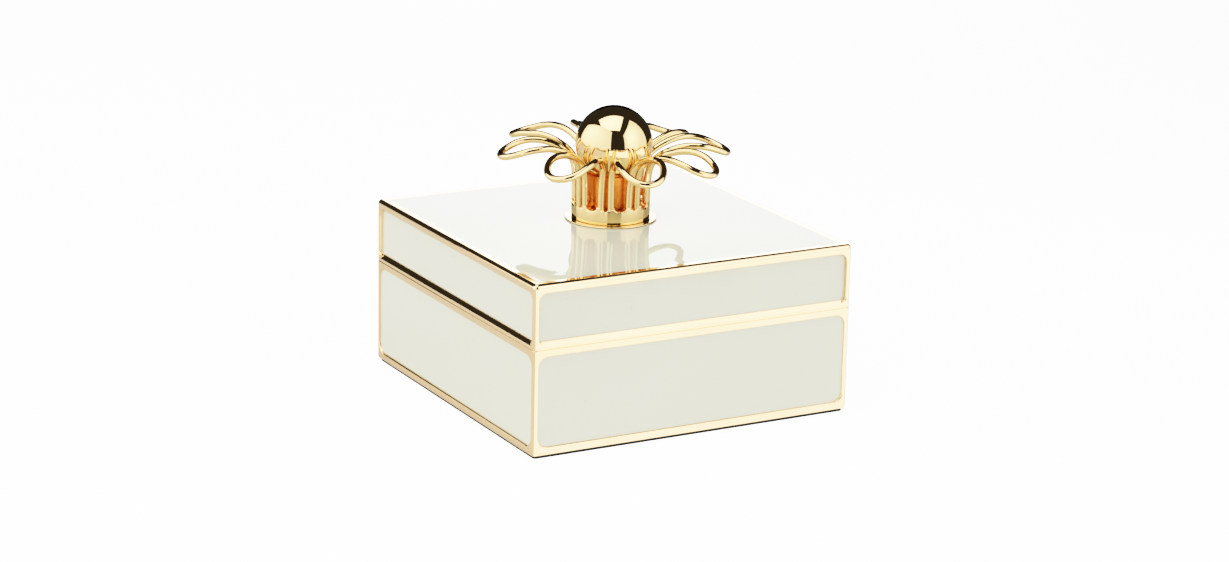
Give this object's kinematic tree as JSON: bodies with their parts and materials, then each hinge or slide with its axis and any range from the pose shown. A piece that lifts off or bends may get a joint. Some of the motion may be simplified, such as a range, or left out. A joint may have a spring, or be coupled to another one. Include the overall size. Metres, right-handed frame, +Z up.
{
  "type": "vanity trinket box",
  "caption": "Square enamelled metal trinket box with polished gold edges and a lift-off lid topped by a gold wire flower with a ball centre.",
  "frame": {"origin": "centre of the felt face that the box stands on", "axes": "+Z up through the knob, the way the lid lifts; -Y is the front, +X the right-hand side, parallel to the box's sides"},
  "size_m": [0.102, 0.102, 0.0844],
  "materials": {
    "gold_casting": "mirror-polished pale champagne gold plate",
    "flower_gold": "mirror-polished yellow gold plate",
    "side_enamel": "glossy ivory-white fired enamel",
    "top_enamel": "glossy ivory-white fired enamel, crowned and polished",
    "black_felt": "pressed black wool felt",
    "lining_velvet": "short-pile black velvet over card",
    "plated_steel": "zinc-plated steel hardware"
  },
  "bodies": {
    "base": {"base_shell": "gold_casting", "base_enamel_front": "side_enamel", "base_enamel_right": "side_enamel", "base_enamel_back": "side_enamel", "base_enamel_left": "side_enamel", "felt_foot": "black_felt", "base_floor_lining": "lining_velvet", "base_wall_lining_front": "lining_velvet", "base_wall_lining_right": "lining_velvet", "base_wall_lining_back": "lining_velvet", "base_wall_lining_left": "lining_velvet"},
    "lid": {"lid_shell": "gold_casting", "lid_enamel_top": "top_enamel", "lid_enamel_front": "side_enamel", "lid_enamel_right": "side_enamel", "lid_enamel_back": "side_enamel", "lid_enamel_left": "side_enamel", "lid_locating_rim": "gold_casting", "lid_roof_lining": "lining_velvet", "knob_flange": "flower_gold", "knob_cup": "flower_gold", "petal_wire_1": "flower_gold", "petal_wire_2": "flower_gold", "petal_wire_3": "flower_gold", "petal_wire_4": "flower_gold", "petal_wire_5": "flower_gold", "petal_wire_6": "flower_gold", "petal_wire_7": "flower_gold", "petal_wire_8": "flower_gold", "knob_seat": "flower_gold", "knob_ball": "flower_gold", "knob_stud": "plated_steel", "knob_washer": "plated_steel", "knob_nut": "plated_steel"}
  },
  "joints": [
    {"name": "lid_lift", "type": "slide", "parent": "base", "child": "lid", "axis": [0, 0, 1], "range_m": [0, 0.06]}
  ]
}
